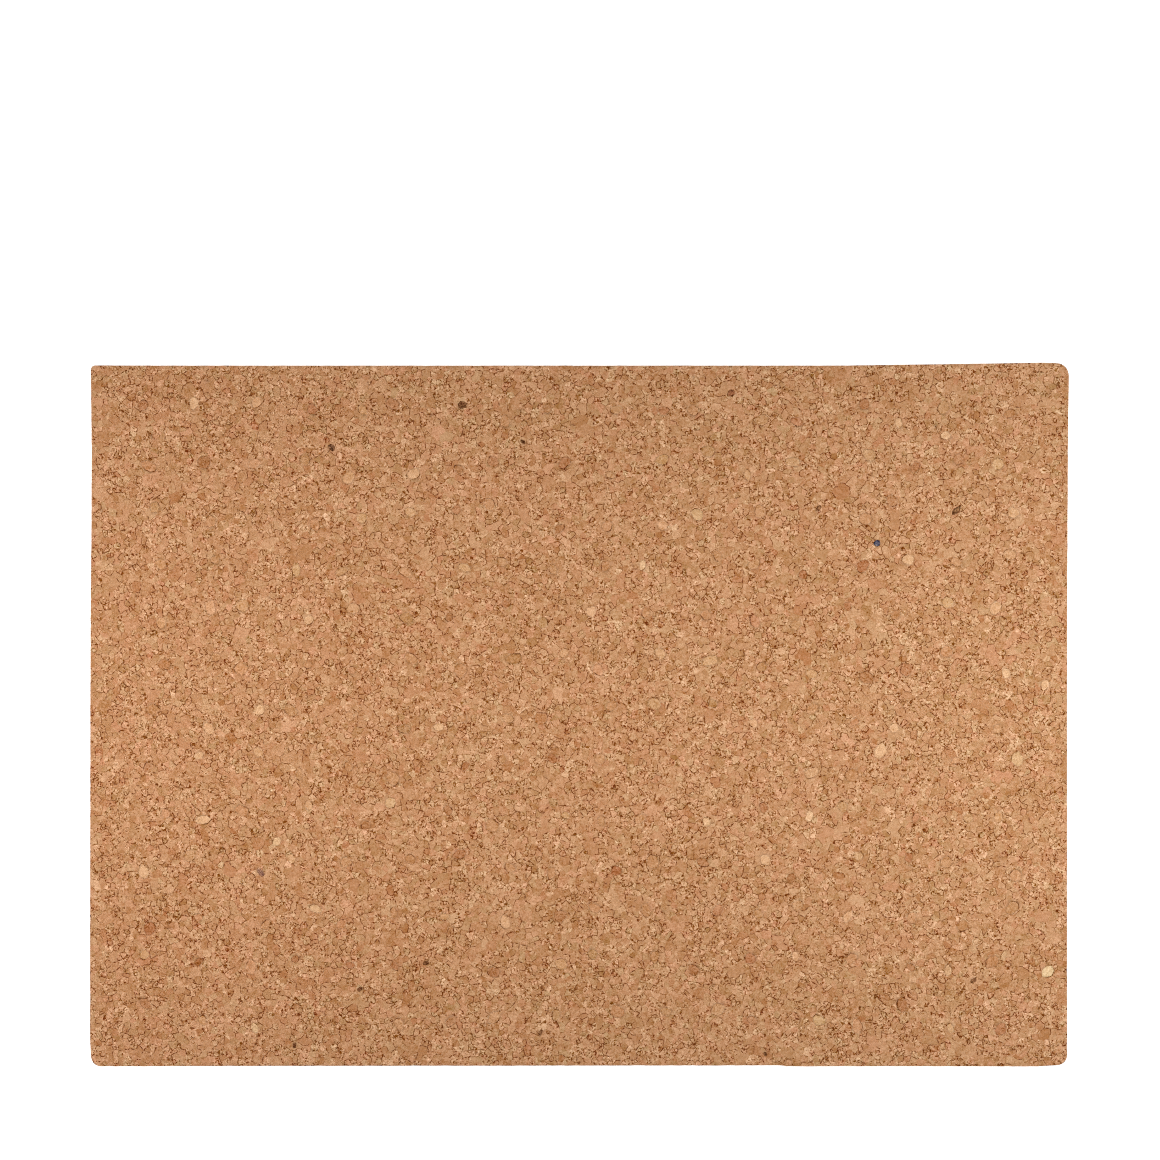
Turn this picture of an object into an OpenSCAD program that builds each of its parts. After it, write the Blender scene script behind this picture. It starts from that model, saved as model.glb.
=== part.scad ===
// Cork desk mat: a coarse-grain cork face sheet with its largest granules as
// solids of their own, a bonding film, and a fine-grain cork backing.
// Origin: middle of the underside. +X runs to the right, +Y to the back, +Z up.
// All sizes are in millimetres.

/* [Mat] */
// Width, left to right
mat_w = 700; // [420:5:800]
// Depth, front to back
mat_d = 502; // [300:2:600]

/* [Layers] */
// Thickness of the coarse-grain face sheet
face_t = 3; // [2:0.1:5]
// Thickness of the bonding film
film_t = 0.2; // [0.1:0.05:0.4]
// Thickness of the fine-grain backing
backing_t = 0.8; // [0.5:0.1:3]

/* [Corners] */
// Radius of the back left corner
back_left_r = 3; // [2:0.5:12]
// Radius of the back right corner
back_right_r = 9; // [2:0.5:12]
// Radius of the front left corner
front_left_r = 7; // [2:0.5:12]
// Radius of the front right corner
front_right_r = 7; // [2:0.5:12]

/* [Large granules] */
// Mean radius of a large granule
granule_r = 4; // [2.5:0.1:4.5]
// Deepest that a large granule reaches into the face sheet
granule_depth = 1.8; // [0.8:0.1:1.9]
// Spacing of the cells that hold one large granule each
cell_pitch = 36; // [30:1:60]
// Seed of the scatter
scatter_seed = 11; // [1:1:99]

/* [Hidden] */
mat_t = backing_t + film_t + face_t;
film_z = backing_t;
face_z = backing_t + film_t;
edge_margin = 3 * granule_r;                  // from the mat's edge to the outer cells
cell_jitter = cell_pitch / 2 - 2 * granule_r; // the most that a granule is off its cell's middle
chip_clearance = 4 * granule_r;               // from a placed chip to a scattered granule
corner_fn = 96;
above = 1;                                    // how far a cutter stands above the face

// Dark chips of outer bark, each [x, y, radius, length over width, turn].
// x and y are shares of the mat's width and depth, from its middle.
BARK_CHIPS = [
    [-0.119,  0.444, 3.1, 1.1,  70],
    [ 0.386,  0.292, 2.8, 1.9,  45],
    [-0.253,  0.383, 2.6, 1.6, -50],
    [-0.326, -0.223, 2.7, 2.2, -53],
    [-0.156, -0.353, 2.0, 1.6,  10],
    [ 0.305,  0.246, 2.4, 1.1,   0],
    [ 0.156,  0.461, 2.8, 1.3,  10],
    [-0.057,  0.391, 1.6, 1.5, -44],
    [ 0.245,  0.296, 2.0, 1.7,  60],
    [ 0.404, -0.378, 1.8, 1.5,  39],
    [-0.039, -0.452, 1.6, 1.8,  75],
    [-0.291, -0.470, 1.6, 1.8,  84],
    [ 0.191, -0.483, 1.4, 1.6, -80],
    [-0.224, -0.390, 1.8, 1.5,  24]
];

// Palest granules, placed in the same way.
PALE_CHIPS = [
    [ 0.480, -0.366, 4.6, 1.2,  60],
    [ 0.309, -0.050, 5.1, 1.3,  80],
    [ 0.477,  0.044, 3.5, 1.4,  60],
    [ 0.375,  0.399, 3.4, 1.2,   0],
    [-0.309, -0.180, 3.4, 1.2,  20],
    [-0.143, -0.016, 3.3, 1.5,   0]
];

// A granule is [x, y, radius, length over width, turn, seed], in millimetres and degrees.
function placed(list, first_seed) = [
    for (i = [0 : len(list) - 1])
        [list[i][0] * mat_w, list[i][1] * mat_d, list[i][2], list[i][3], list[i][4], first_seed + i]
];

function far_from(x, y, list) =
    len([for (c = list) if (norm([c[0] - x, c[1] - y]) < chip_clearance) 1]) == 0;

bark = placed(BARK_CHIPS, 500);
pale_placed = placed(PALE_CHIPS, 600);

cells_x = floor((mat_w - 2 * edge_margin) / cell_pitch);
cells_y = floor((mat_d - 2 * edge_margin) / cell_pitch);

// One granule in each cell, with a number from 0 to 1 at the end that picks its kind.
scattered = [
    for (i = [0 : cells_x - 1], j = [0 : cells_y - 1])
        let (
            seed = scatter_seed * 1000 + i * cells_y + j,
            draw = rands(-1, 1, 6, seed),
            x = (i - (cells_x - 1) / 2) * cell_pitch + draw[0] * cell_jitter,
            y = (j - (cells_y - 1) / 2) * cell_pitch + draw[1] * cell_jitter
        )
        if (far_from(x, y, bark) && far_from(x, y, pale_placed))
            [x, y, granule_r * (1 + 0.25 * draw[2]), 1.3 + 0.3 * draw[3], 90 * draw[4],
             seed, (draw[5] + 1) / 2]
];

pale_share = 0.25;
russet_share = 0.3;
pale = [for (g = scattered) if (g[6] < pale_share) g];
russet = [for (g = scattered) if (g[6] > 1 - russet_share) g];
tan_coloured = [for (g = scattered) if (g[6] >= pale_share && g[6] <= 1 - russet_share) g];

// Corners of a granule's sawn face: 7 to 10 points round an ellipse, none of them regular.
function granule_corners(g) =
    let (
        count = 7 + g[5] % 4,
        wobble = rands(0.78, 1.14, count, g[5] + 7000),
        long = g[2] * sqrt(g[3]),
        short = g[2] / sqrt(g[3])
    )
    [for (k = [0 : count - 1])
        let (a = 360 * k / count, u = long * wobble[k] * cos(a), v = short * wobble[k] * sin(a))
            [g[0] + u * cos(g[4]) - v * sin(g[4]), g[1] + u * sin(g[4]) + v * cos(g[4])]];

function depth_of(g) = granule_depth * rands(0.6, 1, 1, g[5] + 9000)[0];

// What a round corner of radius r takes off a square corner at the origin.
module corner_cut(r) {
    difference() {
        translate([-above, -above]) square(r + above);
        translate([r, r]) circle(r, $fn = corner_fn);
    }
}

// The mat's outline, with a radius of its own at each corner.
module outline() {
    difference() {
        square([mat_w, mat_d], center = true);
        translate([-mat_w / 2, -mat_d / 2]) corner_cut(front_left_r);
        translate([ mat_w / 2, -mat_d / 2]) mirror([1, 0]) corner_cut(front_right_r);
        translate([-mat_w / 2,  mat_d / 2]) mirror([0, 1]) corner_cut(back_left_r);
        translate([ mat_w / 2,  mat_d / 2]) rotate(180) corner_cut(back_right_r);
    }
}

module layer(z, t) {
    translate([0, 0, z]) linear_extrude(t) outline();
}

// One granule, flush with the face, and reaching top_over above it where it cuts its pocket.
module granule(g, top_over = 0) {
    depth = depth_of(g);
    translate([0, 0, mat_t - depth])
        linear_extrude(depth + top_over) polygon(granule_corners(g));
}

module granules(list, top_over = 0) {
    for (g = list) granule(g, top_over);
}

module grip_backing() {
    color([0.42, 0.29, 0.19]) layer(0, backing_t);
}

module bond_film() {
    color([0.80, 0.70, 0.50]) layer(film_z, film_t);
}

module cork_face_sheet() {
    color([0.75, 0.54, 0.38])
        difference() {
            layer(face_z, face_t);
            granules(bark, above);
            granules(pale_placed, above);
            granules(scattered, above);
        }
}

module bark_chips() {
    color([0.30, 0.19, 0.13]) granules(bark);
}

module pale_granules() {
    color([0.87, 0.70, 0.52]) {
        granules(pale_placed);
        granules(pale);
    }
}

module tan_granules() {
    color([0.79, 0.58, 0.41]) granules(tan_coloured);
}

module russet_granules() {
    color([0.70, 0.44, 0.30]) granules(russet);
}

grip_backing();
bond_film();
cork_face_sheet();
bark_chips();
pale_granules();
tan_granules();
russet_granules();
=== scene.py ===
"""The looks of a cork desk mat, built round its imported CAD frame.

The face is one closed mesh of pressed granules, with crevices and pits between them and a pocket for
each large granule. The large granules are pieces of their own, and the layers share one cut outline.
Plan positions are millimetres, in arrays of [x, y]. Blender's meshes are in metres.
"""

import math

import bpy
import numpy as np
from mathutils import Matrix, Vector
from mathutils.geometry import delaunay_2d_cdt
from mathutils.kdtree import KDTree


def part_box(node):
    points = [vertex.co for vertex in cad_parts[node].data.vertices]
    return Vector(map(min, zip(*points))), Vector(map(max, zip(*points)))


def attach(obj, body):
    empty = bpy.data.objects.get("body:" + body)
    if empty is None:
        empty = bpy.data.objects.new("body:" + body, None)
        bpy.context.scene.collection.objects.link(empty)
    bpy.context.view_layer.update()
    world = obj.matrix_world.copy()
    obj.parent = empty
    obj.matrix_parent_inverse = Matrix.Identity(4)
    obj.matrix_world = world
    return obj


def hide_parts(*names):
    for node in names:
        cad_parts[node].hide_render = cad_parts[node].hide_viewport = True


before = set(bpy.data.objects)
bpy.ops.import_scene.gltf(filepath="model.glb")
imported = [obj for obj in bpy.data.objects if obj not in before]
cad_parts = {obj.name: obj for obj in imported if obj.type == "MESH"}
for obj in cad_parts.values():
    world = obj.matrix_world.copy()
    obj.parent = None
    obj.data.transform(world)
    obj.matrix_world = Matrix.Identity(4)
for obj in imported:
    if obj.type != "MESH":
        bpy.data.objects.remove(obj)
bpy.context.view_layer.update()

MM = 0.001
rng = np.random.default_rng(20)

# The mat, from the frame
LOW, HIGH = [np.array(corner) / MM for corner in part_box("cork_face_sheet")]
HALF = HIGH[:2]
FACE_Z = HIGH[2]
SHEET_Z = LOW[2]
FILM_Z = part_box("bond_film")[0].z / MM
CORNER_RADII = {"front_right": 7.0, "back_right": 9.0, "back_left": 3.0, "front_left": 7.0}

# The cut of the outline. Each edge is cut this far outside of true at these places along it.
BACK_EDGE = np.array([(-350, 0.05), (-260, -0.1), (190, -0.05), (332, 2.05), (350, 1.5)])
FRONT_EDGE = np.array([
    (-350, 0.15), (-200, -0.1), (146, -0.45), (148, 0.25), (225, 0.1), (328, 0.3), (346, -0.8),
])
LEFT_EDGE = np.array([
    (-247, -0.5), (-230, 0.2), (0, 0.0), (45, -0.15), (80, -0.2), (125, -0.7), (190, -1.0), (251, -0.3),
])
RIGHT_EDGE = np.array([(20, 0.0), (110, 0.25), (200, 0.7), (251, 1.5)])
EDGE_SPACING = 1.8
RIM_INSET = 0.25          # of the face's own edge, which leaves a small bevel
RIM_DIP = 0.02
FRONT_REACH = 12.0        # how far in from the front edge its cut shifts the face

# The pressed granules
CELL_PITCH = 4.0
CELL_JITTER = 0.48
EDGE_CLEARANCE = 0.7      # between a cell's corner and the outline or a pocket
LARGE_GRANULES = 700
LARGE_RADIUS = (3.0, 4.8)
MIDDLE_GRANULES = 4000
MIDDLE_RADIUS = (2.0, 3.0)
STRETCH = (1, 1.5)        # of a granule along its own axis
BORDER_DIP = (0.02, 0.10)
CROWN = (-0.01, 0.05)
CRUMBLY_SHARE = 0.56      # of the granules: those with small grains and open seams in them
PLAIN_SMOOTHNESS = 0.8    # of the others
LARGE_MEMBERS = 20        # a granule with more triangles than this counts as large, and is smooth too

# The crevices between granules. How open a crevice is also darkens the colour along it: the crevice's
# darker cork and painted shade in it.
CREVICE_WALKS = 7000
CREVICE_STRENGTH = (0.3, 1.0)
CREVICE_START = 0.3       # the shortest border that a crevice starts from, in cell pitches
CREVICE_STEPS = (3, 0.35)      # the most steps past the first border, and the chance of each
HAIRLINE_SHARE = 0.5      # of the borders that no crevice follows
HAIRLINE_STRENGTH = (0.05, 0.3)
DEEP_STRENGTH = 0.7       # a crevice more open than this is cut into the mesh
CREVICE_DEPTH = (0.16, 0.30)
CREVICE_HALF_WIDTH = (0.32, 0.48)
CREVICE_MIDDLE = (0.4, 0.6)    # how far along the border its deepest point is
MEETING_DIPS = np.array([0, 0.05, 0.12, 0.18])      # by how many deep crevices meet at a corner
LIP_DIP = 0.01
CROSSING_DIP = 0.05       # of points that the triangulation adds where edges cross

# The large granules
SIDE_BULGE = (-0.05, 0.06)     # of a side's length
# An open gap beside a large granule darkens the colour along its rim: darker cork and painted shade.
GAP_WIDTH = (0.02, 0.12)  # of the open gap beside it, as a share of the rim
GAP_END = 1.6             # how many of those widths from its middle the gap closes
GAP_STRENGTH = (0.3, 1)
BARK_GAP = (0.1, 0.5)     # bark chips have an uneven gap all round
GRANULE_DIP = (0.04, 0.25)     # of the rim, and what a fully open gap adds
SHOULDER = (0.68, 0.86)   # where the top levels out, from the centre to the rim
SHOULDER_HEIGHT = (-0.01, 0.04)
SUMMITS = 5
SUMMIT_SPREAD = 0.22      # of the granule's reach
SUMMIT_HEIGHT = (0.02, 0.08)

# The points of the layers under the face: how far each strays, and how far inside the outline all
# are, in pitches
LAYER_JITTER = 0.4
LAYER_MARGIN = 0.5

# The cut side
WALL_SHARES = (0.08, 0.3, 0.55, 0.8, 1.0)      # how far down the side its rings are
WALL_TONE = 2             # the spread of its tone, before that is smoothed
CRUMBLE = 0.07
TORN_CHIPS = 60
TORN_DEPTH = (0.18, 0.45)

# Large granules that stand out: where on the mat, then tone, redness and coolness
STANDOUTS = [
    ((-83, 223), 0.5, 0.0, 0.0),
    ((214, 124), 3.5, 0.0, 0.9),     # blue-black
    ((-228, -112), 7.0, 3.0, 0.3),   # mauve
    ((-177, 192), 0.5, 0.0, 0.1),
    ((109, 231), 3.5, 4.0, 0.0),     # russet brown
    ((171, 149), 1.5, 0.0, 0.0),
    ((336, -184), 2.5, -4.0, 0.0),   # nearly white
    ((216, -25), 1.2, 0.0, 0.0),
    ((334, 22), 1.5, 0.0, 0.0),
    ((262, 200), 1.8, 0.0, 0.0),
    ((-100, -8), 1.5, 0.0, 0.0),
]


# ---------------------------------------------------------------- plan shapes

def ramp(values, start, end):
    """0 before start, 1 after end, and a smooth slope between."""
    t = np.clip((values - start) / (end - start), 0, 1)
    return t * t * (3 - 2 * t)


def outline(spacing):
    """The mat's outline, counter-clockwise from the front right corner, points about spacing apart."""
    points = []
    corners = [(1, -1, "front_right"), (1, 1, "back_right"), (-1, 1, "back_left"), (-1, -1, "front_left")]
    for turn, (side_x, side_y, name) in enumerate(corners):
        radius = CORNER_RADII[name]
        centre = np.array([side_x, side_y]) * (HALF - radius)
        steps = max(4, math.ceil(radius * math.pi / 2 / spacing))
        angles = math.radians(90) * (turn - 1 + np.arange(steps + 1) / steps)
        arc = centre + radius * np.stack([np.cos(angles), np.sin(angles)], 1)
        if points:
            points.append(straight(points[-1][-1], arc[0], spacing))
        points.append(arc)
    points.append(straight(points[-1][-1], points[0][0], spacing))
    return np.concatenate(points)


def straight(start, end, spacing):
    """The points between two ends, without the ends."""
    steps = max(1, round(float(np.linalg.norm(end - start)) / spacing))
    return start + (end - start) * (np.arange(1, steps) / steps)[:, None]


def outline_distance(points):
    """How far each point is outside the outline; less than 0 inside."""
    x, y = points[:, 0], points[:, 1]
    front = np.where(x < 0, CORNER_RADII["front_left"], CORNER_RADII["front_right"])
    back = np.where(x < 0, CORNER_RADII["back_left"], CORNER_RADII["back_right"])
    radius = np.where(y < 0, front, back)
    over = np.abs(points) - HALF + radius[:, None]
    return np.linalg.norm(np.maximum(over, 0), axis=1) + np.minimum(over.max(1), 0) - radius


def as_cut(points):
    """Shifts plan points so that the mat follows its real, slightly uneven cut."""
    x, y = points.T
    dx = np.interp(y, *RIGHT_EDGE.T) * ramp(x, 0, HALF[0])
    dx -= np.interp(y, *LEFT_EDGE.T) * ramp(-x, HALF[0] / 2, HALF[0])
    dy = np.interp(x, *BACK_EDGE.T) * ramp(y, HALF[1] / 4, HALF[1])
    dy -= np.interp(x, *FRONT_EDGE.T) * ramp(-y, HALF[1] - FRONT_REACH, HALF[1])
    return points + np.stack([dx, dy], 1)


def ring_edges(ring):
    """The edges that join a ring of point numbers."""
    return np.stack([ring, np.roll(ring, -1)], 1)


def loop_normals(loop):
    """The outward normal at each point of a counter-clockwise loop."""
    along = np.roll(loop, -1, 0) - np.roll(loop, 1, 0)
    normals = np.stack([along[:, 1], -along[:, 0]], 1)
    return normals / np.linalg.norm(normals, axis=1, keepdims=True)


def inside_polygon(points, polygon):
    """Which points are inside a polygon, by counting the sides that each point's ray crosses."""
    x, y = points[:, :1], points[:, 1:]
    start, end = polygon, np.roll(polygon, -1, 0)
    spans = (start[:, 1] > y) != (end[:, 1] > y)
    rise = np.where(start[:, 1] == end[:, 1], 1, end[:, 1] - start[:, 1])
    crossing = start[:, 0] + (y - start[:, 1]) * (end[:, 0] - start[:, 0]) / rise
    return (spans & (x < crossing)).sum(1) % 2 == 1


def triangulate(points, edges):
    """Delaunay triangles that keep to the edges, their points, and each point's place in the list given
    (-1: a new point)."""
    made = delaunay_2d_cdt([Vector(p) for p in points.tolist()], edges, [], 0, 1e-4, True)
    places = np.array([origin[0] if origin else -1 for origin in made[3]])
    return np.array(made[2]), np.array([tuple(v) for v in made[0]]), places


def within(ring, middles, spanning):
    """Which triangles are inside a ring, from their middles. Only a triangle that spans part of the ring,
    with all its corners on it, can be outside."""
    kept = ~spanning
    kept[spanning] = inside_polygon(middles[spanning], ring)
    return kept


def fill(ring, inner):
    """Triangles that fill a ring and meet the points inside it, numbered ring first."""
    points = np.concatenate([ring, inner])
    triangles, _, places = triangulate(points, ring_edges(np.arange(len(ring))).tolist())
    triangles = places[triangles]
    return triangles[within(ring, points[triangles].mean(1), (triangles < len(ring)).all(1))]


def used_only(points, heights, triangles):
    """The same triangles, without the points that none of them uses."""
    used, numbers = np.unique(triangles, return_inverse=True)
    return points[used], heights[used], numbers.reshape(triangles.shape)


# ------------------------------------------------------------ large granules

def solids_of(node):
    """Each solid of a CAD node as its top corners in order, and its height."""
    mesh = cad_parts[node].data
    places = np.array([v.co for v in mesh.vertices]) / MM
    keys, merged = np.unique(places.round(3), axis=0, return_inverse=True)
    merged = merged.ravel()
    leader = np.arange(len(keys))

    def find(i):
        while leader[i] != i:
            leader[i] = leader[leader[i]]
            i = leader[i]
        return i

    for polygon in mesh.polygons:
        corners = merged[list(polygon.vertices)]
        for corner in corners[1:]:
            leader[find(corner)] = find(corners[0])
    groups = np.array([find(i) for i in range(len(keys))])
    solids = []
    for group in np.unique(groups):
        own = keys[groups == group]
        top = own[own[:, 2] > own[:, 2].max() - 0.01][:, :2]
        turn = np.arctan2(*(top - top.mean(0)).T[::-1])
        solids.append((top[np.argsort(turn)], float(np.ptp(own[:, 2]))))
    return solids


class LargeGranule:
    """One large granule: the rim that it shares with its pocket, how dark the gap is along it, and how
    the rim dips. The gap's darkness is its darker cork and painted shade in it."""

    def __init__(self, node, corners, height, draw):
        sides = []
        for start, end in zip(corners, np.roll(corners, -1, 0)):
            middle = (start + end) / 2
            outward = np.array([end[1] - start[1], start[0] - end[0]])
            bulge = draw.uniform(*SIDE_BULGE) * outward
            sides += [start, middle + bulge]
        self.rim = np.array(sides)
        self.height = height
        self.centre = corners.mean(0)
        self.reach = float(np.linalg.norm(self.rim - self.centre, axis=1).max())
        around = np.arange(len(self.rim)) / len(self.rim)
        arc = np.abs((around - draw.random() + 0.5) % 1 - 0.5)
        self.dark = np.clip(GAP_END - arc / draw.uniform(*GAP_WIDTH), 0, 1) * draw.uniform(*GAP_STRENGTH)
        if node == "bark_chips":
            self.dark = draw.uniform(*BARK_GAP, len(self.rim))
        self.dip = GRANULE_DIP[0] + GRANULE_DIP[1] * self.dark
        self.looks = {"tone": draw.normal(), "redness": draw.normal(), "coolness": 0.0}


GRANULE_NODES = ["pale_granules", "tan_granules", "russet_granules", "bark_chips"]
granule_draw = np.random.default_rng(5)
large_granules = {
    node: [LargeGranule(node, corners, height, granule_draw) for corners, height in solids_of(node)]
    for node in GRANULE_NODES
}
pocketed = [granule for node in GRANULE_NODES for granule in large_granules[node]]


def nearest_granule(place):
    return min(pocketed, key=lambda granule: float(np.linalg.norm(granule.centre - place)))


for place, tone, redness, coolness in STANDOUTS:
    nearest_granule(place).looks = {"tone": tone, "redness": redness, "coolness": coolness}


# ------------------------------------------------------------- face tessellation

def scattered_seeds():
    """Seeds of the small cells: a jittered grid that covers the outline and a little more."""
    counts = np.ceil(2 * HALF / CELL_PITCH).astype(int) + 4
    grid = np.stack(np.meshgrid(np.arange(counts[0]), np.arange(counts[1])), -1).reshape(-1, 2)
    grid = grid - (counts - 1) / 2 + rng.uniform(-CELL_JITTER, CELL_JITTER, grid.shape)
    return grid * CELL_PITCH


def circumcentres(triangles):
    """The centre of the circle through each triangle's corners."""
    a, b, c = triangles[:, 0], triangles[:, 1], triangles[:, 2]
    b, c = b - a, c - a
    twice_area = 2 * (b[:, 0] * c[:, 1] - b[:, 1] * c[:, 0])
    b2, c2 = (b * b).sum(1), (c * c).sum(1)
    x = (c[:, 1] * b2 - b[:, 1] * c2) / twice_area
    y = (b[:, 0] * c2 - c[:, 0] * b2) / twice_area
    return a + np.stack([x, y], 1)


def cells_round(seeds):
    """The cells' corners, and each border between two cells as (its two corners, its two seeds)."""
    triangles, points, places = triangulate(seeds, [])
    corners = circumcentres(points[triangles])
    sides = np.concatenate([triangles[:, [0, 1]], triangles[:, [1, 2]], triangles[:, [2, 0]]])
    owner = np.tile(np.arange(len(triangles)), 3)
    sides = np.sort(places[sides], 1)
    order = np.lexsort((sides[:, 1], sides[:, 0]))
    sides, owner = sides[order], owner[order]
    shared = np.nonzero((sides[1:] == sides[:-1]).all(1))[0]
    return corners, np.stack([owner[shared], owner[shared + 1]], 1), sides[shared]


def grouped(seeds, tree):
    """A label for each cell. Cells with one label are one granule."""
    labels = np.arange(len(seeds))
    taken = np.zeros(len(seeds), bool)
    sizes = [rng.uniform(*LARGE_RADIUS, LARGE_GRANULES), rng.uniform(*MIDDLE_RADIUS, MIDDLE_GRANULES)]
    sizes = np.concatenate(sizes)
    for radius, first in zip(sizes, rng.integers(0, len(seeds), len(sizes))):
        if taken[first]:
            continue
        stretch, turn = rng.uniform(*STRETCH), rng.uniform(0, math.pi)
        axis = np.array([math.cos(turn), math.sin(turn)])
        for _, i, _ in tree.find_range(Vector((*seeds[first], 0)), radius * stretch):
            offset = seeds[i] - seeds[first]
            along = abs(offset @ axis) / stretch
            across = abs(offset[0] * axis[1] - offset[1] * axis[0]) * stretch
            if not taken[i] and along * along + across * across < radius * radius:
                labels[i] = first
                taken[i] = True
    return labels


def crevice_strengths(corners, borders, between):
    """How open the seam along each border is, from 0 to 1. Crevices are short walks from border to border."""
    touching = {}
    for i in np.nonzero(between)[0]:
        for corner in borders[i]:
            touching.setdefault(int(corner), []).append(int(i))
    lengths = np.linalg.norm(corners[borders[:, 0]] - corners[borders[:, 1]], axis=1)
    candidates = np.nonzero(between & (lengths > CREVICE_START * CELL_PITCH))[0]
    hairline = between & (rng.random(len(borders)) < HAIRLINE_SHARE)
    strengths = np.where(hairline, rng.uniform(*HAIRLINE_STRENGTH, len(borders)), 0)
    for start in rng.choice(candidates, CREVICE_WALKS, replace=False):
        here, corner = int(start), int(borders[start][rng.integers(2)])
        strength = rng.uniform(*CREVICE_STRENGTH)
        for _ in range(1 + rng.binomial(*CREVICE_STEPS)):
            strengths[here] = max(strengths[here], strength)
            onward = [i for i in touching[corner] if i != here]
            if not onward:
                break
            here = onward[rng.integers(len(onward))]
            ends = borders[here]
            corner = int(ends[0] if ends[1] == corner else ends[1])
    return strengths


def clear_of_edges(points, clearance):
    """Which points are at least clearance inside the outline, and as far outside every pocket."""
    clear = outline_distance(points) < -clearance
    for granule in pocketed:
        near = np.nonzero(np.linalg.norm(points - granule.centre, axis=1) < granule.reach + clearance + 1)[0]
        grown = granule.centre + (granule.rim - granule.centre) * (1 + clearance / granule.reach)
        clear[near[inside_polygon(points[near], grown)]] = False
    return clear


class Plan:
    """Points, heights and edges to triangulate, with how open the seam along each edge is."""

    def __init__(self):
        self.points, self.heights, self.edges, self.strengths = [], [], [], []
        self.count = 0

    def add_points(self, points, heights):
        first = self.count
        self.points.append(points)
        self.heights.append(np.broadcast_to(heights, len(points)).astype(float))
        self.count += len(points)
        return first + np.arange(len(points))

    def add_edges(self, start, end, strengths=0.0):
        self.edges.append(np.stack([start, end], 1))
        self.strengths.append(np.broadcast_to(strengths, len(start)).astype(float))

    def add_ring(self, points, heights, strengths=0.0):
        self.add_edges(*ring_edges(self.add_points(points, heights)).T, strengths)

    def triangulate(self):
        """Points, heights, triangles and each point's place in the plan."""
        points, heights, edges = map(np.concatenate, (self.points, self.heights, self.edges))
        triangles, made, places = triangulate(points, edges.tolist())
        heights = np.where(places >= 0, heights[places], -CROSSING_DIP)
        return made, heights, triangles, places

    def seams(self, points, triangles, places):
        """For each triangle, how open the seam along its most open side is, and each corner's distance
        from that side."""
        now = np.full(self.count, -1)
        now[places[places >= 0]] = np.nonzero(places >= 0)[0]
        edges = now[np.concatenate(self.edges)]
        keys = edges.min(1) * len(points) + edges.max(1)
        order = np.argsort(keys)
        keys, strengths = keys[order], np.concatenate(self.strengths)[order]
        sides = np.stack([triangles[:, [1, 2]], triangles[:, [2, 0]], triangles[:, [0, 1]]], 1)
        wanted = sides.min(2) * len(points) + sides.max(2)
        spots = np.searchsorted(keys, wanted).clip(max=len(keys) - 1)
        found = np.where(keys[spots] == wanted, strengths[spots], 0)
        rows, side = np.arange(len(triangles)), found.argmax(1)
        start, end = points[sides[rows, side, 0]], points[sides[rows, side, 1]]
        along, out = end - start, points[triangles[rows, side]] - start
        distances = np.zeros((len(triangles), 3))
        twice_area = np.abs(along[:, 0] * out[:, 1] - along[:, 1] * out[:, 0])
        distances[rows, side] = twice_area / np.linalg.norm(along, axis=1)
        return found[rows, side], distances


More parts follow.
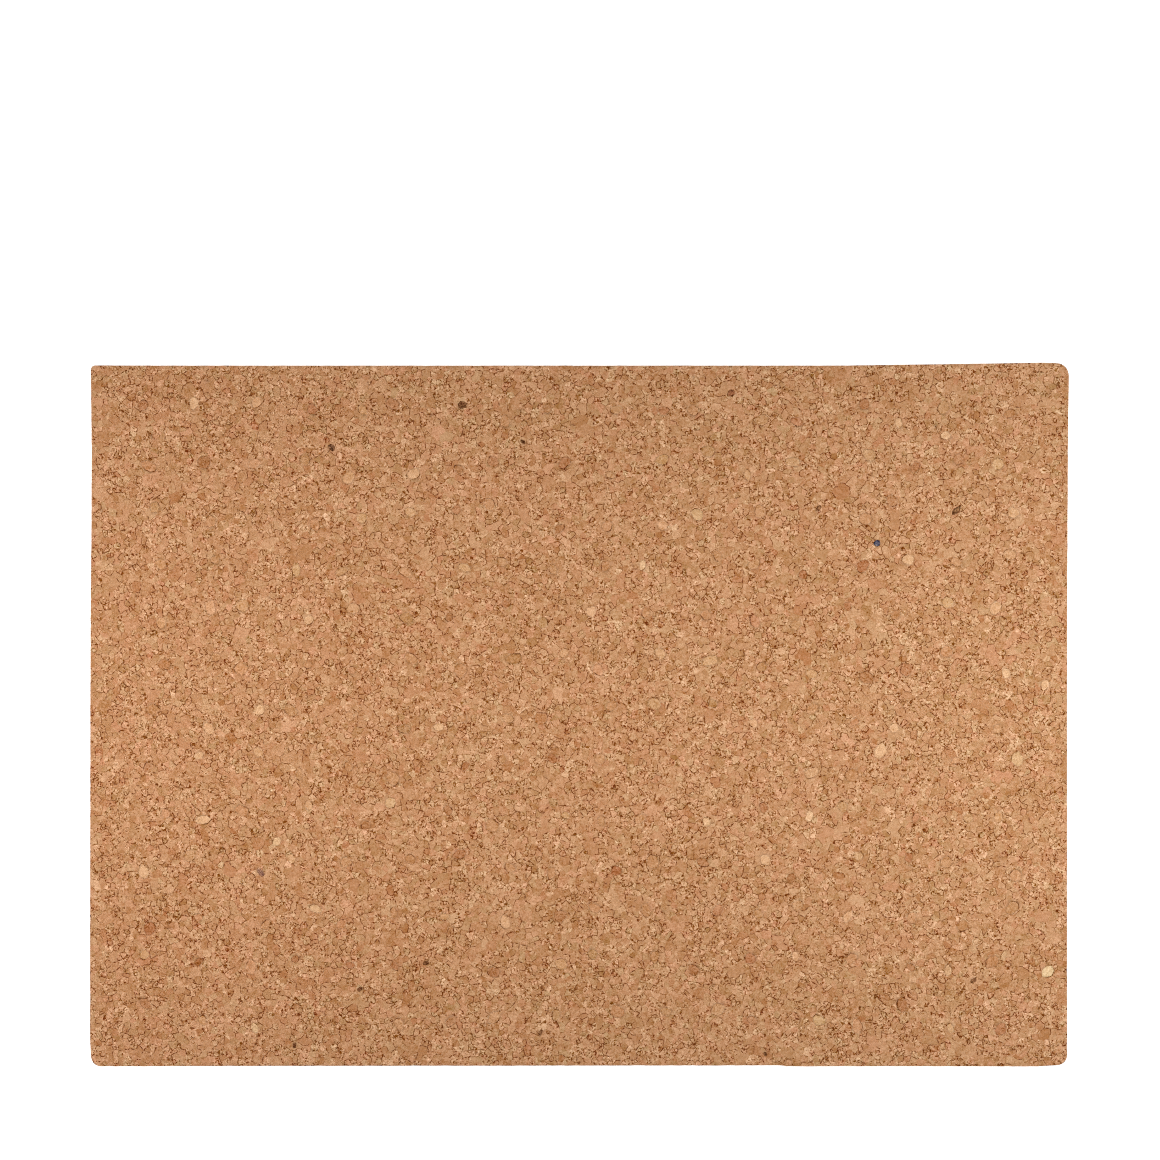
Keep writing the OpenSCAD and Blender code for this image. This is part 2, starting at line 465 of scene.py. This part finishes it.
def face_plan():
    """The face seen from above: points, heights, triangles, their labels, and their seams."""
    seeds = scattered_seeds()
    tree = KDTree(len(seeds))
    for i, seed in enumerate(seeds):
        tree.insert((*seed, 0), i)
    tree.balance()
    labels = grouped(seeds, tree)
    corners, borders, sides = cells_round(seeds)

    clear = clear_of_edges(corners, EDGE_CLEARANCE)[borders].all(1)
    between = clear & (labels[sides[:, 0]] != labels[sides[:, 1]])
    strengths = crevice_strengths(corners, borders, between)
    used = np.unique(borders[between])
    renumbered = np.full(len(corners), -1)
    renumbered[used] = np.arange(len(used))
    borders = renumbered[borders]
    deep = between & (strengths > DEEP_STRENGTH)
    meets = np.bincount(borders[deep].ravel(), minlength=len(used))
    shallow = between & ~deep

    plan = Plan()
    plan.add_points(corners[used], -rng.uniform(*BORDER_DIP, len(used)) - MEETING_DIPS[meets])
    plan.add_edges(*borders[shallow].T, strengths[shallow])

    # Deep crevices have a bottom, with a lip on either side
    start, end = borders[deep].T
    across = (corners[used[end]] - corners[used[start]]) @ np.array([[0, 1], [-1, 0]])
    across /= np.linalg.norm(across, axis=1, keepdims=True)
    count = len(start)
    share = rng.uniform(*CREVICE_MIDDLE, (count, 1))
    middle = corners[used[start]] * share + corners[used[end]] * (1 - share)
    width = rng.uniform(*CREVICE_HALF_WIDTH, (2, count, 1))
    bottoms = plan.add_points(middle, -rng.uniform(*CREVICE_DEPTH, count))
    plan.add_edges(start, bottoms, strengths[deep])
    plan.add_edges(bottoms, end, strengths[deep])
    for lips in (middle + across * width[0], middle - across * width[1]):
        lips = plan.add_points(lips, -LIP_DIP)
        plan.add_edges(start, lips)
        plan.add_edges(lips, end)
        plan.add_edges(bottoms, lips)

    crowned = seeds[clear_of_edges(seeds, 1.5 * EDGE_CLEARANCE)]
    plan.add_points(crowned, rng.uniform(*CROWN, len(crowned)))
    for granule in pocketed:
        plan.add_ring(granule.rim, -granule.dip, granule.dark)
    rim = outline(EDGE_SPACING)
    line = rim - loop_normals(rim) * RIM_INSET
    line_starts = plan.count
    plan.add_ring(line, -RIM_DIP)

    points, heights, triangles, places = plan.triangulate()
    middles = points[triangles].mean(1)
    keep = within(line, middles, (places[triangles] >= line_starts).all(1))
    for granule in pocketed:
        near = np.nonzero(np.linalg.norm(middles - granule.centre, axis=1) < granule.reach)[0]
        keep[near[inside_polygon(middles[near], granule.rim)]] = False
    triangles = triangles[keep]
    openness, distances = plan.seams(points, triangles, places)
    # The walls of deep crevices count as on the seam, so their colour is fully darkened: darker cork and
    # painted shade.
    distances[np.isin(places[triangles], bottoms).any(1)] = 0
    owners = np.array([tree.find((x, y, 0))[1] for x, y in middles[keep]])
    return points, heights, triangles, labels[owners], openness, distances


# ------------------------------------------------------------------- meshes

def boundary_loops(triangles):
    """The loops of edges that only one triangle has, each in the triangles' own direction."""
    sides = np.concatenate([triangles[:, [0, 1]], triangles[:, [1, 2]], triangles[:, [2, 0]]])
    count = triangles.max() + 1
    backward = set((sides[:, 1] * count + sides[:, 0]).tolist())
    onward = {int(a): int(b) for a, b in sides if int(a * count + b) not in backward}
    loops = []
    while onward:
        first, here = onward.popitem()
        loop = [first]
        while here != first:
            loop.append(here)
            here = onward.pop(here)
        loops.append(np.array(loop))
    return loops


def mesh_object(name, points, faces, material):
    """A piece of the mat, from points in millimetres."""
    mesh = bpy.data.meshes.new(name)
    mesh.from_pydata((np.asarray(points) * MM).tolist(), [], faces)
    mesh.materials.append(material)
    mesh.polygons.foreach_set("use_smooth", np.full(len(mesh.polygons), True))
    mesh.validate()
    piece = bpy.data.objects.new(name, mesh)
    bpy.context.scene.collection.objects.link(piece)
    return piece


def give(piece, name, domain, values):
    """Stores one number for each point or face."""
    layer = piece.data.attributes.new(name, "FLOAT", domain)
    layer.data.foreach_set("value", np.asarray(values, np.float32))


class Shell:
    """Points and faces of one closed mesh, with each face's looks and each corner's distance from a seam."""

    def __init__(self):
        self.points, self.faces, self.distances = [], [], []
        self.looks = {"tone": [], "redness": [], "coolness": [], "smoothness": [], "openness": []}

    def add_points(self, plan, z):
        first = len(self.points)
        plan = as_cut(np.asarray(plan))
        self.points += np.column_stack([plan, np.broadcast_to(z, len(plan))]).tolist()
        return first + np.arange(len(plan))

    def add_faces(self, faces, distances=0.0, **looks):
        self.faces += faces.tolist()
        self.distances += np.broadcast_to(distances, faces.shape).ravel().tolist()
        for name, values in self.looks.items():
            values += np.broadcast_to(looks.get(name, 0.0), len(faces)).tolist()

    def join(self, upper, lower, **looks):
        """Walls between two rings of as many points."""
        self.add_faces(np.stack([upper, lower, np.roll(lower, -1), np.roll(upper, -1)], 1), **looks)

    def piece(self, name, material):
        made = mesh_object(name, self.points, self.faces, material)
        give(made, "seam_distance", "CORNER", self.distances)
        for look, values in self.looks.items():
            give(made, look, "FACE", values)
        return made


def smoothed(values, passes):
    """A closed loop of values, each pass averaging a value with its neighbours."""
    for _ in range(passes):
        values = (np.roll(values, 1) + 2 * values + np.roll(values, -1)) / 4
    return values


def crumbled(count, draw):
    """How far a cut edge stands out at each of count points: fine wander, and a few torn-out chips."""
    offsets = draw.normal(0, CRUMBLE, count)
    for at in draw.integers(0, count, TORN_CHIPS):
        offsets[at] -= draw.uniform(*TORN_DEPTH)
    return smoothed(offsets, 1)


# ---------------------------------------------------------------- materials

# Seams, in millimetres: half the width of a closed one, what full openness adds to that, and where the
# dark line fades and the rim's painted highlight rises and ends, from the seam's edge. The dark line is
# the seam's darker cork and painted shade in it.
SEAM_WIDTH = 0.08
SEAM_WIDENING = 0.27
SEAM_FADE = (-0.1, 0.12)
RIM_HIGHLIGHT_PEAK = 0.15
RIM_HIGHLIGHT_END = 0.5
SEAM_SHOWN = 0.35         # the openness at which a seam is fully dark
PAIR_SCATTER = 23.0       # spreads the sum of two grains' numbers into a number of the pair's own


class Nodes:
    """Short names for the shader nodes that the materials are made of."""

    def __init__(self, material):
        material.use_nodes = True
        self.tree = material.node_tree
        self.tree.nodes.clear()

    def node(self, kind, inputs=(), **settings):
        made = self.tree.nodes.new("ShaderNode" + kind)
        for key, value in settings.items():
            setattr(made, key, value)
        for key, value in dict(inputs).items():
            if isinstance(value, bpy.types.NodeSocket):
                self.tree.links.new(value, made.inputs[key])
            else:
                made.inputs[key].default_value = value
        return made

    def math(self, operation, a, b=0.0):
        return self.node("Math", {0: a, 1: b}, operation=operation).outputs[0]

    def add(self, *terms):
        total = terms[0]
        for term in terms[1:]:
            total = self.math("ADD", total, term)
        return total

    def times(self, a, b):
        return self.math("MULTIPLY", a, b)

    def centred(self, value, amount):
        """A number from 0 to 1 turned into one from -amount to amount."""
        return self.node("Math", {0: value, 1: 2 * amount, 2: -amount}, operation="MULTIPLY_ADD").outputs[0]

    def fall(self, value, start, end):
        """1 at start and below, 0 at end and above, on a smooth slope."""
        made = self.node("MapRange", {"Value": value, "From Min": start, "From Max": end, "To Min": 1.0,
                                      "To Max": 0.0}, interpolation_type="SMOOTHSTEP")
        return made.outputs[0]

    def rise(self, value, start, end):
        """0 at start and below, 1 at end and above, on a smooth slope."""
        return self.node("MapRange", {"Value": value, "From Min": start, "From Max": end},
                         interpolation_type="SMOOTHSTEP").outputs[0]

    def plan(self, stretch=(1.0, 1.0, 1.0), shift=0.0):
        """Position on the mat in millimetres, shrunk along each axis by stretch and moved by shift."""
        where = self.node("TexCoord").outputs["Object"]
        scale = [1 / (MM * s) for s in stretch]
        made = self.node("Mapping", {"Vector": where, "Scale": scale, "Location": (shift, shift, shift)})
        return made.outputs[0]

    def noise(self, where, size, detail, roughness=0.5):
        return self.node("TexNoise", {"Vector": where, "Scale": 1 / size, "Detail": detail,
                                      "Roughness": roughness})

    def cells(self, where, size, feature):
        return self.node("TexVoronoi", {"Vector": where, "Scale": 1 / size}, feature=feature)

    def seam(self, distance, openness):
        """The dark line of a seam, its darker cork and painted shade, and the painted highlights on the rims
        beside it. Openness widens and darkens the line.
        """
        edge = self.node("Math", {0: openness, 1: SEAM_WIDENING, 2: SEAM_WIDTH}, operation="MULTIPLY_ADD")
        past = self.math("SUBTRACT", distance, edge.outputs[0])
        shown = self.rise(openness, 0.0, SEAM_SHOWN)
        # The rim beside a seam is lighter: a painted highlight.
        rim = self.times(self.rise(past, 0.0, RIM_HIGHLIGHT_PEAK), self.fall(past, RIM_HIGHLIGHT_PEAK, RIM_HIGHLIGHT_END))
        return self.times(self.fall(past, *SEAM_FADE), shown), self.times(rim, shown)

    def grains(self, where, size, share):
        """A mosaic of grains: each grain's random numbers, the dark seams between them, their darker cork and
        painted shade, and the painted highlights on their rims. A share of the seams are open, to a random
        degree."""
        own = self.split(self.cells(where, size, "F1").outputs["Color"])
        other = self.split(self.cells(where, size, "F2").outputs["Color"])
        distance = self.cells(where, size, "DISTANCE_TO_EDGE").outputs["Distance"]
        pair = self.math("FRACT", self.times(self.add(own[2], other[2]), PAIR_SCATTER))
        return own, *self.seam(self.times(distance, size), self.rise(pair, 1 - share, 1.0))

    def attribute(self, name):
        return self.node("Attribute", attribute_name=name).outputs["Fac"]

    def split(self, colour):
        return self.node("SeparateColor", {0: colour}).outputs


# Cork's pattern: the sizes of its parts, in millimetres, and what shapes them
BEND_SIZE = 1.6
BEND = 0.7                # how far the bend moves a grain's outline
CRUMB_SIZE = 0.85
DUST_SIZE = 0.6
DUST_ROUGHNESS = 0.6
GRAIN_SIZE = 1.8
OPEN_GRAINS = 0.33        # of the seams between grains
PATCH_SIZE = 4.0
PATCH_STRETCH = (1.8, 1.0, 1.0)
PATCH_SHIFT = 7.0
CLOUD_SIZE = 26.0
CLOUD_STRETCH = (2.6, 1.0, 1.0)
CLOUD_SHIFT = 3.0
CLOUD_ROUGHNESS = 0.6
RAGGED = 0.2              # how far dust moves a crevice's edge
DOTS = (0.01, 0.03)       # the crumbs with a number below these are dark dots: painted shade of small pits
SPECKS = (0.97, 0.99)     # the crumbs with a number above these are pale specks
SMOOTHING = -0.6          # what smoothness does to the fine grain

# The colour as it is seen, on a scale from 0 to 1, and how much each part of the pattern adds to its
# lightness and redness
CORK = (0.765, 0.558, 0.404)
GAINS = (0.87, 0.97, 1.08)     # how far each channel follows the lightness
DARKEST = -0.4
BLACK = (0.02, 0.012, 0.008)
DISPLAY_GAMMA = 2.2
CRUMB_LIGHT, GRAIN_LIGHT, DUST_LIGHT = 0.08, 0.07, 0.10
TONE_LIGHT = 0.029
PATCH_LIGHT, CLOUD_LIGHT = 0.008, 0.02
# Seams and crevices darken the colour: their darker cork and painted shade in them. Dots darken it with
# painted shade of small pits, and the rims beside seams get a painted highlight.
SEAM_LIGHT, CREVICE_LIGHT, DOT_LIGHT = -0.34, -0.38, -0.25
RIM_HIGHLIGHT, SPECK_LIGHT = 0.04, 0.13
CRUMBLY_LIGHT = 0.03      # crumbly cork is paler, which makes up for its dark seams
OWN_RED, GRAIN_RED, CLOUD_RED = 0.010, 0.005, 0.01
# The darkening of crevices and seams, with its painted shade, is also made less red.
CREVICE_RED, SEAM_RED = -0.03, -0.02
REDDENING = (0.3, -0.7, -0.4)        # what redness adds to each channel
COOLING = (-0.22, -0.04, 0.16)
YELLOWING = (0.0, -0.03, -0.14)      # what being far from the mean lightness adds

# The relief that is too fine for the mesh, and the surface
GRAIN_RELIEF, SEAM_RELIEF, DOT_RELIEF = 1.2, -0.8, -0.6
RELIEF = {"Strength": 0.5, "Distance": 0.25 * MM}
ROUGHNESS = {"To Min": 0.72, "To Max": 0.98}
SPECULAR = 0.1


def cork(name, base=CORK, gains=GAINS, fine=1.0, strokes=1.0, smooth=0.0):
    """Pressed cork. Cork varies in lightness far more than in hue, so one sum of variations lightens or
    darkens all three channels of the colour by about the same amount, before it is made linear."""
    material = bpy.data.materials.new(name)
    n = Nodes(material)
    place = n.plan()
    bend = n.noise(place, BEND_SIZE, 1.0).outputs["Color"]
    bend = n.node("VectorMath", {0: bend, 1: (-0.5, -0.5, -0.5)}, operation="ADD").outputs[0]
    bent = n.node("VectorMath", {0: bend, 1: (BEND, BEND, BEND), 2: place}, operation="MULTIPLY_ADD")
    bent = bent.outputs[0]

    crumbs = n.split(n.cells(bent, CRUMB_SIZE, "F1").outputs["Color"])
    dust = n.noise(place, DUST_SIZE, 1.0, DUST_ROUGHNESS).outputs[0]
    patches = n.noise(n.plan(PATCH_STRETCH, PATCH_SHIFT), PATCH_SIZE, 1.0).outputs[0]
    clouds = n.noise(n.plan(CLOUD_STRETCH, CLOUD_SHIFT), CLOUD_SIZE, 3.0, CLOUD_ROUGHNESS).outputs[0]
    grains, grain_seam, grain_rim_highlight = n.grains(bent, GRAIN_SIZE, OPEN_GRAINS)

    smoothness = n.math("MAXIMUM", n.attribute("smoothness"), smooth)
    roughened = n.node("Math", {0: smoothness, 1: SMOOTHING, 2: 1.0}, operation="MULTIPLY_ADD").outputs[0]
    ragged = n.add(n.attribute("seam_distance"), n.centred(dust, RAGGED))
    # Crevices darken the colour with their darker cork and painted shade, and a painted highlight runs beside
    # them.
    crevice, crevice_rim_highlight = n.seam(ragged, n.attribute("openness"))
    crumbly = n.math("SUBTRACT", 1.0, smoothness)
    # Grain seams darken with their darker cork and painted shade; the rims beside seams and crevices get a
    # painted highlight.
    seam = n.times(grain_seam, crumbly)
    rim = n.math("MAXIMUM", n.times(grain_rim_highlight, crumbly), crevice_rim_highlight)
    # Dots: painted shade of small pits, which the bump also sinks.
    dots = n.times(n.fall(crumbs[1], *DOTS), roughened)
    specks = n.times(n.rise(crumbs[2], *SPECKS), roughened)

    fine_sum = n.add(
        n.centred(crumbs[0], CRUMB_LIGHT * fine),
        n.centred(grains[0], GRAIN_LIGHT * fine),
        n.centred(dust, DUST_LIGHT * fine),
    )
    lightness = n.add(
        n.times(fine_sum, roughened),
        n.times(n.attribute("tone"), TONE_LIGHT),
        n.centred(patches, PATCH_LIGHT),
        n.centred(clouds, CLOUD_LIGHT),
        n.times(seam, SEAM_LIGHT * strokes),
        n.times(crevice, CREVICE_LIGHT * strokes),
        n.times(rim, RIM_HIGHLIGHT),
        n.times(dots, DOT_LIGHT * strokes),
        n.times(specks, SPECK_LIGHT),
        n.times(crumbly, CRUMBLY_LIGHT),
    )
    lightness = n.math("MAXIMUM", lightness, DARKEST)
    redness = n.add(
        n.times(n.attribute("redness"), OWN_RED),
        n.centred(grains[1], GRAIN_RED),
        n.centred(clouds, CLOUD_RED),
        n.times(crevice, CREVICE_RED),
        n.times(seam, SEAM_RED),
    )
    parts = [
        (lightness, gains),
        (redness, REDDENING),
        (n.attribute("coolness"), COOLING),
        (n.math("ABSOLUTE", lightness), YELLOWING),
    ]
    seen = [n.add(base[i], *[n.times(part, shares[i]) for part, shares in parts]) for i in range(3)]
    seen = n.node("CombineColor", dict(enumerate(seen))).outputs[0]
    seen = n.node("VectorMath", {0: seen, 1: BLACK}, operation="MAXIMUM").outputs[0]
    colour = n.node("Gamma", {"Color": seen, "Gamma": DISPLAY_GAMMA}).outputs[0]

    height = n.add(n.times(fine_sum, GRAIN_RELIEF), n.times(seam, SEAM_RELIEF), n.times(dots, DOT_RELIEF))
    bump = n.node("Bump", {"Height": n.times(height, roughened), **RELIEF}).outputs[0]
    rough = n.node("MapRange", {"Value": dust, **ROUGHNESS}).outputs[0]
    shader = n.node("BsdfPrincipled", {"Base Color": colour, "Roughness": rough, "Normal": bump,
                                       "Specular IOR Level": SPECULAR})
    n.node("OutputMaterial", {"Surface": shader.outputs[0]})
    return material


# The glue film's edge
GLUE_COLOURS = [(0.36, 0.20, 0.09, 1), (0.55, 0.34, 0.17, 1)]
GLUE_STREAK = 3.0
GLUE_ROUGHNESS = {"To Min": 0.35, "To Max": 0.6}
GLUE_RELIEF = {"Strength": 0.3, "Distance": 0.1 * MM}


def glue(name):
    """The film's edge: a thin honey-coloured line with a slight gloss."""
    material = bpy.data.materials.new(name)
    n = Nodes(material)
    streak = n.noise(n.plan(), GLUE_STREAK, 3.0).outputs[0]
    colour = n.node("Mix", {0: streak, 6: GLUE_COLOURS[0], 7: GLUE_COLOURS[1]}, data_type="RGBA")
    rough = n.node("MapRange", {"Value": streak, **GLUE_ROUGHNESS}).outputs[0]
    bump = n.node("Bump", {"Height": streak, **GLUE_RELIEF}).outputs[0]
    shader = n.node("BsdfPrincipled", {"Base Color": colour.outputs[2], "Roughness": rough, "Normal": bump})
    n.node("OutputMaterial", {"Surface": shader.outputs[0]})
    return material


# ------------------------------------------------------------------- pieces

def face_sheet():
    """The coarse face sheet: its granules on top, a cut side, and a flat underside."""
    points, heights, triangles, labels, openness, distances = face_plan()
    points, heights, triangles = used_only(points, heights, triangles)
    members = np.bincount(labels)[labels]
    looks = np.random.default_rng(3)
    tones = looks.normal(0, 1, labels.max() + 1)
    reds = looks.normal(0, 1, labels.max() + 1)
    plain = looks.random(labels.max() + 1) > CRUMBLY_SHARE
    smooths = np.clip((plain[labels].astype(int) + (members > LARGE_MEMBERS)) * PLAIN_SMOOTHNESS, 0, 1)

    shell = Shell()
    top = shell.add_points(points, FACE_Z + heights)
    shell.add_faces(top[triangles], distances, tone=tones[labels], redness=reds[labels], smoothness=smooths,
                    openness=openness)
    loops = sorted(boundary_loops(triangles), key=len)
    side_wall(shell, top[loops[-1]], points[loops[-1]])
    for loop in loops[:-1]:
        pocket(shell, top[loop], points[loop])
    return shell.piece("cork_face_sheet_detail", cork("coarse_cork_face"))


def side_wall(shell, ring, rim):
    """The mat's cut side, from the face's rim down to the film, and the underside."""
    outward = loop_normals(rim)
    flush = rim + outward * RIM_INSET
    draw = np.random.default_rng(8)
    height = FACE_Z - SHEET_Z
    upper = ring
    for share in WALL_SHARES:
        plan = flush + outward * crumbled(len(rim), draw)[:, None]
        lower = shell.add_points(plan, FACE_Z - share * height)
        shell.join(upper, lower, tone=smoothed(draw.normal(0, WALL_TONE, len(rim)), 2))
        upper = lower
    shell.add_faces(upper[fill(plan, plan[:0])][:, ::-1])


def pocket(shell, ring, rim):
    """A pocket's wall and floor, under a large granule."""
    floor_z = FACE_Z - nearest_granule(rim.mean(0)).height
    floor = shell.add_points(rim, floor_z)
    shell.join(ring, floor)
    centre = shell.add_points([rim.mean(0)], floor_z)
    shell.add_faces(np.stack([floor, np.roll(floor, -1), np.repeat(centre, len(floor))], 1))


def granule_piece(node, material):
    """All the large granules of one kind: crowned tops on straight-sided bodies."""
    shell = Shell()
    draw = np.random.default_rng(len(node))
    for granule in large_granules[node]:
        count = len(granule.rim)
        plan = Plan()
        plan.add_ring(granule.rim, -granule.dip, granule.dark)
        shoulder = granule.centre + (granule.rim - granule.centre) * draw.uniform(*SHOULDER, (count, 1))
        plan.add_points(shoulder, draw.uniform(*SHOULDER_HEIGHT, count))
        summits = granule.centre + draw.normal(0, SUMMIT_SPREAD * granule.reach, (SUMMITS, 2))
        plan.add_points(summits, draw.uniform(*SUMMIT_HEIGHT, SUMMITS))
        points, heights, triangles, places = plan.triangulate()
        triangles = triangles[inside_polygon(points[triangles].mean(1), granule.rim)]
        openness, distances = plan.seams(points, triangles, places)
        points, heights, triangles = used_only(points, heights, triangles)
        top = shell.add_points(points, FACE_Z + heights)
        shell.add_faces(top[triangles], distances, openness=openness, **granule.looks)
        loop = boundary_loops(triangles)[0]
        base = shell.add_points(points[loop], FACE_Z - granule.height)
        shell.join(top[loop], base, **granule.looks)
        centre = shell.add_points([granule.centre], FACE_Z - granule.height)
        shell.add_faces(np.stack([np.roll(base, -1), base, np.repeat(centre, count)], 1), **granule.looks)
    return shell.piece(node + "_detail", material)


def layer(name, low, high, inset, pitch, relief, material):
    """A thin layer with the mat's outline. Its two faces have points pitch apart that dip in by relief."""
    draw = np.random.default_rng(len(name))
    rim = outline(EDGE_SPACING)
    outward = loop_normals(rim)
    rings = [rim + outward * (crumbled(len(rim), draw) - inset)[:, None] for _ in range(2)]
    counts = np.floor(2 * (HALF - pitch) / pitch).astype(int)
    grid = np.stack(np.meshgrid(*[np.arange(c) - (c - 1) / 2 for c in counts]), -1).reshape(-1, 2)
    grid = (grid + draw.uniform(-LAYER_JITTER, LAYER_JITTER, grid.shape)) * pitch
    grid = grid[outline_distance(grid) < -LAYER_MARGIN * pitch]
    shell = Shell()
    ends = []
    for z, inward, ring in ((high, -1, rings[0]), (low, 1, rings[1])):
        dips = np.concatenate([np.zeros(len(ring)), draw.uniform(0, relief, len(grid))])
        placed = shell.add_points(np.concatenate([ring, grid]), z + inward * dips)
        faces = placed[fill(ring, grid)]
        shell.add_faces(faces if inward < 0 else faces[:, ::-1], tone=draw.normal(0, 1, len(faces)))
        ends.append(placed[:len(ring)])
    shell.join(ends[0], ends[1])
    return shell.piece(name, material)


face = face_sheet()
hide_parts("cork_face_sheet")

PALE, TAN, RUSSET = (0.835, 0.64, 0.475), (0.77, 0.56, 0.40), (0.715, 0.49, 0.34)
BARK, BARK_GAINS = (0.44, 0.275, 0.175), (0.95, 0.85, 0.75)
BACKING = (0.62, 0.45, 0.32)
GRANULE_LOOKS = {
    "pale_granules": ("pale_cork", cork("pale_cork_granule", PALE, smooth=0.8)),
    "tan_granules": ("tan_cork", cork("tan_cork_granule", TAN, smooth=0.7)),
    "russet_granules": ("russet_cork", cork("russet_cork_granule", RUSSET, smooth=0.6)),
    "bark_chips": ("bark", cork("bark_chip", BARK, BARK_GAINS, fine=1.6, strokes=0.3)),
}
pieces = [face]
for node, (slot, material) in GRANULE_LOOKS.items():
    piece = granule_piece(node, material)
    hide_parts(node)
    pieces.append(piece)

film = layer("bond_film_detail", FILM_Z, SHEET_Z, inset=0.15, pitch=60.0, relief=0.0,
             material=glue("glue_film"))
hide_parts("bond_film")
backing = layer("grip_backing_detail", 0.0, FILM_Z, inset=0.0, pitch=7.0, relief=0.05,
                material=cork("fine_cork_backing", BACKING, fine=0.9))
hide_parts("grip_backing")
pieces += [film, backing]
for piece in pieces:
    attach(piece, "root")


# -------------------------------------------------------------------- stage

FLOOR_REACH = 30.0
FLOOR_GAP = 0.0002        # the floor is this far under the mat
FLOOR_WHITE = 0.9
FLOOR_GLOW = 0.85
WORLD_LIGHT = 0.225
WORLD_SEEN = 1.05
# The lights, which face straight down: place, size, power and colour
LIGHTS = {
    "overhead": ((0.0, 0.0, 0.6), (1.6, 0.3), 3.98, (1.0, 1.0, 0.95)),
    "right": ((0.5, 0.0, 0.5), (0.3, 0.8), 1.61, (0.92, 1.0, 1.07)),
    "left": ((-0.5, 0.0, 0.5), (0.3, 0.8), 1.17, (1.06, 1.0, 1.04)),
}


def floor():
    """A plain white floor that glows a little, so that it stays white under the soft light."""
    mesh = bpy.data.meshes.new("floor")
    corners = [(FLOOR_REACH * x, FLOOR_REACH * y, 0) for x, y in [(-1, -1), (1, -1), (1, 1), (-1, 1)]]
    mesh.from_pydata(corners, [], [(0, 1, 2, 3)])
    material = bpy.data.materials.new("floor")
    n = Nodes(material)
    white = (FLOOR_WHITE, FLOOR_WHITE, FLOOR_WHITE, 1)
    shader = n.node("BsdfPrincipled", {"Base Color": white, "Roughness": 0.9,
                                       "Emission Color": (1, 1, 1, 1), "Emission Strength": FLOOR_GLOW})
    n.node("OutputMaterial", {"Surface": shader.outputs[0]})
    mesh.materials.append(material)
    made = bpy.data.objects.new("floor", mesh)
    bpy.context.scene.collection.objects.link(made)
    made.location.z = -FLOOR_GAP
    return made


def soft_light(name, place, size, power, colour):
    """An area light that the camera doesn't see."""
    data = bpy.data.lights.new(name, "AREA")
    data.shape = "RECTANGLE"
    data.size, data.size_y = size
    data.energy = power
    data.color = colour
    made = bpy.data.objects.new(name, data)
    made.location = place
    made.visible_camera = False
    bpy.context.scene.collection.objects.link(made)


def white_world():
    """A white background that lights the mat from all sides, less than it shows."""
    world = bpy.data.worlds.new("studio")
    bpy.context.scene.world = world
    world.use_nodes = True
    nodes, links = world.node_tree.nodes, world.node_tree.links
    seen = nodes["Background"]
    seen.inputs["Color"].default_value = (1, 1, 1, 1)
    path = nodes.new("ShaderNodeLightPath")
    strength = nodes.new("ShaderNodeMapRange")
    strength.inputs["To Min"].default_value = WORLD_LIGHT
    strength.inputs["To Max"].default_value = WORLD_SEEN
    links.new(path.outputs["Is Camera Ray"], strength.inputs["Value"])
    links.new(strength.outputs[0], seen.inputs["Strength"])


floor()
white_world()
for name, settings in LIGHTS.items():
    soft_light(name, *settings)

# The camera looks straight down on the middle of the frame, which is this wide at the mat's face
FRAME_WIDTH = 0.8311
FRAME_CENTRE = (0.00094, 0.0973)
LENS = 85.0
SENSOR = 36.0
camera_data = bpy.data.cameras.new("camera")
camera_data.lens = LENS
camera_data.sensor_width = SENSOR
camera_data.clip_end = 100.0
camera = bpy.data.objects.new("camera", camera_data)
camera.location = (*FRAME_CENTRE, FACE_Z * MM + FRAME_WIDTH * LENS / SENSOR)
bpy.context.scene.collection.objects.link(camera)
bpy.context.scene.camera = camera
bpy.context.scene.view_settings.view_transform = "Standard"
# The finest grain is about a pixel wide, so it is neither denoised nor filtered away
bpy.context.scene.cycles.use_denoising = False
bpy.context.scene.cycles.filter_width = 1.2
